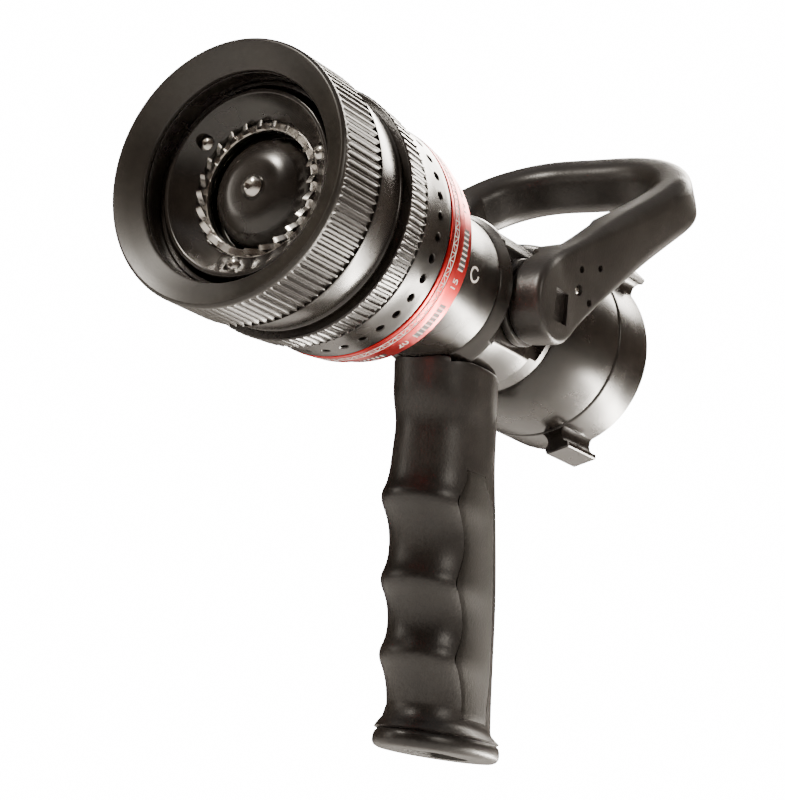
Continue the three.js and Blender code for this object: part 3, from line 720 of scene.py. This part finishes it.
def catmull(points, steps):
    # a smooth line through points
    padded = [points[0] * 2 - points[1]] + points + [points[-1] * 2 - points[-2]]
    result = []
    for p0, p1, p2, p3 in zip(padded, padded[1:], padded[2:], padded[3:]):
        for i in range(steps):
            t = i / steps
            result.append(0.5 * (2 * p1 + (p2 - p0) * t + (2 * p0 - 5 * p1 + 4 * p2 - p3) * t * t
                                 + (3 * p1 - p0 - 3 * p2 + p3) * t ** 3))
    return result + [points[-1]]


def sectionRing(centre, outward, low, high, half, corner):
    # rounded oblong between two offsets along outward, and half its width either way across
    across = Vector((0, 1, 0))
    radius = min(corner, half * 0.96, (high - low) * 0.48)
    ring = []
    for sideA, sideB, start in ((1, 1, 0), (-1, 1, 90), (-1, -1, 180), (1, -1, 270)):
        a = (high - radius) if sideA > 0 else (low + radius)
        b = sideB * (half - radius)
        for i in range(bail["around"] + 1):
            turn = math.radians(start + 90 * i / bail["around"])
            ring.append(centre + outward * (a + radius * math.cos(turn)) * mm
                        + across * (b + radius * math.sin(turn)) * mm)
    return ring


def smooth(t):
    t = min(1, max(0, t))
    return t * t * (3 - 2 * t)


def bailHalf():
    # right arm from the round end of its boss, round the corner to the middle of the crossbar
    thick = bail["thick"] / 2
    foot, wide = bail["outer"] - thick, bail["corner"] - thick
    straight = bail["reach"] - bail["turn"]
    line = [Vector((foot, 0, 0)), Vector((foot, 0, 14)),
            Vector((foot + (wide - foot) * 0.45, 0, straight * 0.58))]
    for i in range(5):
        angle = math.radians(i / 4 * 84)
        line.append(Vector((wide - bail["turn"] + bail["turn"] * math.cos(angle), 0,
                            straight + bail["turn"] * math.sin(angle))))
    line.append(Vector((0, 0, bail["reach"])))
    path = catmull(line, 8)
    rings = []
    for i in range(1, 13):
        u = -bail["boss"] * math.cos(math.radians(i / 12 * 90))
        half = math.sqrt(max(0.2, bail["boss"] ** 2 - u * u))
        pinch = bail["pinch"] * (1 - smooth((u + bail["boss"]) / 3))
        rings.append(sectionRing(Vector((foot, 0, u)) * mm, Vector((1, 0, 0)),
                                 bail["inner"] - foot + pinch, thick - pinch, half, bail["edge"]))
    for here, ahead in zip(path[1:], path[2:] + [Vector((-1, 0, bail["reach"]))]):
        along = (ahead - here).normalized()
        outward = Vector((along.z, 0, -along.x))
        u = here.z
        onArm = here.x > 30 and u < straight
        half = bail["wide"] / 2 + (bail["boss"] - bail["wide"] / 2) * (1 - smooth((u - 1) / 34) * 0.55
                                                                 - smooth((u - 30) / 50) * 0.45)
        low = -thick
        if onArm:
            floor = bail["inner"] + (bail["relief"] - bail["inner"]) * smooth((u - bail["stepEnd"]) / 3)
            low = max(low, floor - here.x) if u < bail["reliefEnd"] else low
        if u < bail["stepEnd"]:
            low = bail["inner"] - here.x
        edge = bail["edge"] + (bail["barEdge"] - bail["edge"]) * smooth((u - 20) / 40)
        rings.append(sectionRing(here * mm, outward, low, thick, half, edge))
    return rings


bm = loft(bailHalf(), False)
bmesh.ops.mirror(bm, geom=bm.verts[:] + bm.edges[:] + bm.faces[:], axis="X", merge_dist=0.05 * mm)
bmesh.ops.remove_doubles(bm, verts=bm.verts, dist=1e-6)
bmesh.ops.recalc_face_normals(bm, faces=bm.faces)
bmesh.ops.transform(bm, matrix=bailTurn, verts=bm.verts)

bailFace = {"recess": (9.2, 11), "centre": (145.2, -1.3), "screw": (155.9, 7.5),
            "holes": [(155.2, 14.6), (165.2, 17.9), (163, 4.9)], "holeRadius": 1.25, "holeFloor": 33,
            "screwRadius": 1.8, "seatRadius": 2, "seatFloor": 35.3, "past": 50}
recessAt, screwAt = (Vector((0, at(d), z * mm)) for d, z in (bailFace["centre"], bailFace["screw"]))
cutters = []
for side in (1, -1):
    out = Vector((side * mm, 0, 0))
    wide, tall = bailFace["recess"]
    cutters.append(boxAt((3.4 * mm, wide * mm, tall * mm), recessAt + out * bail["outer"]))
    cutters.append(barBetween(screwAt + out * bailFace["seatFloor"], screwAt + out * bailFace["past"],
                              bailFace["seatRadius"] * mm, 32))
    for d, z in bailFace["holes"]:
        hole = Vector((0, at(d), z * mm))
        cutters.append(barBetween(hole + out * bailFace["holeFloor"], hole + out * bailFace["past"],
                                  bailFace["holeRadius"] * mm, 24))
bm = carve(bm, cutters)
finishPiece("bail_handle_moulded", bm, blackPlastic, "bail", ["bail_handle"], 38)

spacer = {"inner": 21.6, "outer": 24.5, "radius": 15, "bevel": 0.5}
for name, side in (("right", 1), ("left", -1)):
    centre = screwAt + Vector((side * (bailFace["seatFloor"] + 0.3) * mm, 0, 0))
    screw = buttonScrew(bailFace["screwRadius"], 1.3, centre, (side, 0, 0))
    finishPiece(f"bail_screw_{name}_button", screw, stainless, "bail",
                [f"bail_screw_{name}"])
    bm = barBetween((side * spacer["inner"] * mm, at(pivotStation), 0),
                    (side * spacer["outer"] * mm, at(pivotStation), 0), spacer["radius"] * mm, 96,
                    spacer["bevel"] * mm)
    finishPiece(f"pivot_spacer_{name}_disc", bm, blackPlastic, "bail",
                [f"pivot_spacer_{name}"])

# ---- pistol grip with its side panels

print("grip")
grip = {"station": 138, "top": -31, "rim": -24.5, "bottom": -153, "rake": 11.3, "halfWide": 16,
        "halfDeep": 22, "crests": [-34, -71.5, -98.5, -122.7, -150], "squareness": 2.25, "around": 96,
        "heights": [-1.4, 4.4, 3.9, 3.7, 2.4], "depths": [3.4, 5.2, 5.0, 4.6], "footWide": 19,
        "footDeep": 28, "hollow": 7.5, "hollowShifts": (-7, -3.5, 0, 3.5, 7)}


def gripCentre(z):
    return at(grip["station"]) / mm + math.tan(math.radians(grip["rake"])) * (grip["top"] - z)


def fingerOffset(z):
    # how far the front stands out, with the ridges rounded over
    return sum(ridgeOffset(z + shift) for shift in (-2.4, -1.2, 0, 1.2, 2.4)) / 5


def ridgeOffset(z):
    # ridges with round wells between them
    crests, heights = grip["crests"], grip["heights"]
    if z >= crests[0]:
        return heights[0]
    for i, depth in enumerate(grip["depths"]):
        high, low = crests[i], crests[i + 1]
        if high >= z >= low:
            t = (high - z) / (high - low)
            ridge = heights[i] + (heights[i + 1] - heights[i]) * t
            if i == 0:
                return ridge - depth * smooth(t / 0.35) * (1 - max(0, (t - 0.72) / 0.28) ** 2.2)
            return ridge - depth * (1 - abs(2 * t - 1) ** 2.4)
    return heights[-1]


def gripPoint(z, turn, swell=0.0):
    # point on the grip's skin; turn is measured from the front toward +X
    power = 2 / grip["squareness"]
    side, ahead = math.sin(turn), math.cos(turn)
    x = grip["halfWide"] * math.copysign(abs(side) ** power, side)
    y = -grip["halfDeep"] * math.copysign(abs(ahead) ** power, ahead)
    reach = smooth((ahead + 0.35) / 1.1)
    offset = fingerOffset(z)
    y -= offset * reach
    x *= 1 + 0.018 * (offset - 0.6) * smooth(ahead + 0.5)
    if ahead < 0:
        bulge = 1.8 * math.exp(-((z + 98) / 26) ** 2) - 1.2 * math.exp(-((z + 55) / 14) ** 2)
        y += bulge * smooth(-ahead / 0.8)
    growth = 1 + swell / grip["halfWide"]
    return Vector((x * growth, gripCentre(z) + y * (1 + swell / grip["halfDeep"]), z)) * mm


def gripRings():
    # the shank's rings, then the foot's, all with the same points round them
    turns = [2 * math.pi * k / grip["around"] for k in range(grip["around"])]
    rings = [[gripPoint(grip["rim"], turn, -1) for turn in turns],
             [gripPoint(grip["rim"] - 0.4, turn, -0.3) for turn in turns]]
    rings += [[gripPoint(grip["rim"] - 1.2 - i * 1.2, turn) for turn in turns] for i in range(95)]
    footCentre = gripCentre(grip["bottom"]) - 0.5
    last = rings[-1]
    z0 = last[0].z / mm
    for z, inset in ((-142.6, 0), (-144, 0), (-145.4, 0), (-146.4, 0), (-147.1, 1.4), (-147.9, 0.5),
                     (-149, 0.1), (-150.2, 0), (-151.4, 0.1), (-152.4, 0.7), (-153, 1.9)):
        ring = []
        for k, turn in enumerate(turns):
            foot = Vector(((grip["footWide"] - inset) * math.sin(turn),
                           footCentre - (grip["footDeep"] - inset) * math.cos(turn), z)) * mm
            shank = gripPoint(z, turn)
            flare = 1.6 + 5 * smooth(0.5 - math.cos(turn) * 0.7)
            spread = smooth((z0 - z) / (z0 + 147.2)) ** flare if z > -147 else 1
            ring.append(shank.lerp(foot, spread))
        rings.append(ring)
    return rings


panel = {"top": -60, "bottom": -141, "rows": 60, "columns": 12, "proud": 0.25, "thick": 1.1}


def panelEdge(z):
    # front and rear edges of the panel as turns round the grip
    wave = 0.05 * math.cos(2 * math.pi * (z + 72) / 26)
    upper = smooth((panel["top"] - z) / 12)
    lower = smooth((z - panel["bottom"]) / 22)
    front = 1.12 - wave * upper * lower + 0.08 * (1 - upper) + 0.06 * (1 - lower)
    rear = 1.98 - 0.36 * (1 - upper) - 0.16 * (1 - lower)
    return front, rear


def panelMesh(side, margin, proud, thick):
    # a pad that follows the grip's skin between two edges
    bm = bmesh.new()
    made = bmesh.ops.create_grid(bm, x_segments=panel["columns"], y_segments=panel["rows"], size=1)
    top, bottom = panel["top"] + margin, panel["bottom"] - margin
    for vert in made["verts"]:
        along, across = vert.co.y, vert.co.x
        z = top + (bottom - top) * (along + 1) / 2
        front, rear = panelEdge(z)
        middle, half = (front + rear) / 2, (rear - front) / 2 + margin * 0.05
        rim = max(abs(along) * 40 - 39.4, abs(across) * 6.5 - 5.9)
        vert.co = gripPoint(z, side * (middle + half * across), proud - 0.3 * smooth(rim / 0.6))
    bmesh.ops.recalc_face_normals(bm, faces=bm.faces)
    bm.faces.ensure_lookup_table()
    if bm.faces[0].normal.x * side < 0:
        bmesh.ops.reverse_faces(bm, faces=bm.faces)
    bmesh.ops.solidify(bm, geom=bm.faces[:], thickness=thick * mm)
    bmesh.ops.recalc_face_normals(bm, faces=bm.faces)
    return bm


bm = loft(gripRings())
axisTop, axisEnd = (Vector((0, gripCentre(z), z)) * mm for z in (-90, -158))
shifts = [Vector((0, y * mm, 0)) for y in grip["hollowShifts"]]
hollow = [barBetween(axisTop + shift, axisEnd + shift, grip["hollow"] * mm, 48) for shift in shifts]
neck = barBetween((0, at(100), 0), (0, at(124), 0), 26.1 * mm, 96)  # clears the barrel
body = barBetween((0, at(121.9), 0), (0, at(172), 0), 28.5 * mm, 96)  # clears the valve body
room = 0.6 * mm
pocket = boxAt((saddle["wide"] * mm + room, saddle["long"] * mm + room, 10 * mm),
               (0, at(saddle["station"]), -26 * mm))  # round the saddle
bm = carve(bm, hollow + [neck, body, pocket] + [panelMesh(side, 0.35, 2, 2.6) for side in (1, -1)])
finishPiece("pistol_grip_moulded", bm, blackPlastic, "valve", ["pistol_grip"], 40)

for name, side in (("right", 1), ("left", -1)):
    pad = panelMesh(side, 0, panel["proud"], panel["thick"])
    finishPiece(f"grip_panel_{name}_pad", pad, panelRubber, "valve",
                [f"grip_panel_{name}"], 30)

# ---- floor, light and camera

print("stage")
stage = {"floorDrop": 0.32, "floorHalf": 8}
floorMesh = bmesh.new()
bmesh.ops.create_grid(floorMesh, x_segments=2, y_segments=2, size=stage["floorHalf"],
                      matrix=Matrix.Translation((0, 0, -stage["floorDrop"])))
mesh = bpy.data.meshes.new("floor")
floorMesh.to_mesh(mesh)
floorMesh.free()
floor = bpy.data.objects.new("floor", mesh)
bpy.context.scene.collection.objects.link(floor)
floorPaint = newMaterial("floorPaint", (0.86, 0.85, 0.84), 0.8)
speckle = noise(floorPaint, objectPoint(floorPaint), 3, 2)
shadeBy(floorPaint, ramp(floorPaint, speckle, 0, 1), (0.84, 0.83, 0.82), (0.88, 0.87, 0.86))
mesh.materials.append(floorPaint)

world = bpy.data.worlds.new("studio")
bpy.context.scene.world = world
world.use_nodes = True
tree = world.node_tree
background = tree.nodes["Background"]
background.inputs["Strength"].default_value = 1
path = tree.nodes.new("ShaderNodeLightPath")
mix = tree.nodes.new("ShaderNodeMix")
mix.data_type = "RGBA"
mix.inputs[6].default_value = (0.06, 0.042, 0.030, 1)
mix.inputs[7].default_value = (16, 16, 16, 1)
tree.links.new(path.outputs["Is Camera Ray"], mix.inputs[0])
tree.links.new(mix.outputs[2], background.inputs["Color"])

target = Vector((0, -0.12, -0.02))
softboxes = {
    "lowRear": {"direction": (0.34, 0.82, -0.40), "distance": 0.8, "size": (0.5, 0.26), "power": 34},
    "highRear": {"direction": (-0.05, 0.80, 0.60), "distance": 0.9, "size": (0.6, 0.25), "power": 15},
    "front": {"direction": (-0.21, -0.69, 0.66), "distance": 1.3, "size": (0.2, 0.2), "power": 18},
    "leftFront": {"direction": (-0.75, -0.60, 0.15), "distance": 1.1, "size": (0.25, 0.5), "power": 2},
    "right": {"direction": (0.95, -0.10, 0.35), "distance": 1.2, "size": (0.35, 0.4), "power": 4},
}
for name, box in softboxes.items():
    lamp = bpy.data.lights.new(name, "AREA")
    lamp.shape = "RECTANGLE"
    lamp.size, lamp.size_y = box["size"]
    lamp.energy = box["power"]
    lamp.color = (1, 0.93, 0.83)
    thing = bpy.data.objects.new(name, lamp)
    away = Vector(box["direction"]).normalized()
    thing.location = target + away * box["distance"]
    thing.rotation_euler = away.to_track_quat("Z", "Y").to_euler()
    bpy.context.scene.collection.objects.link(thing)

overhead = bpy.data.lights.new("overhead", "SUN")  # an even, soft wash over the floor
overhead.energy = 0.4
overhead.angle = math.radians(80)
bpy.context.scene.collection.objects.link(bpy.data.objects.new("overhead", overhead))

viewer = {"place": (0.4194, -0.7572, -0.2037), "up": (0, -0.2414, 0.970),
          "back": (0.533, -0.821, -0.204), "lens": 108}
lens = bpy.data.cameras.new("viewer")
lens.lens = viewer["lens"]
lens.sensor_width = 36
lens.clip_start = 0.01
camera = bpy.data.objects.new("viewer", lens)
back = Vector(viewer["back"]).normalized()
right = Vector(viewer["up"]).cross(back).normalized()
up = back.cross(right)
camera.matrix_world = Matrix.Translation(viewer["place"]) @ Matrix(
    (right, up, back)).transposed().to_4x4()
bpy.context.scene.collection.objects.link(camera)
bpy.context.scene.camera = camera
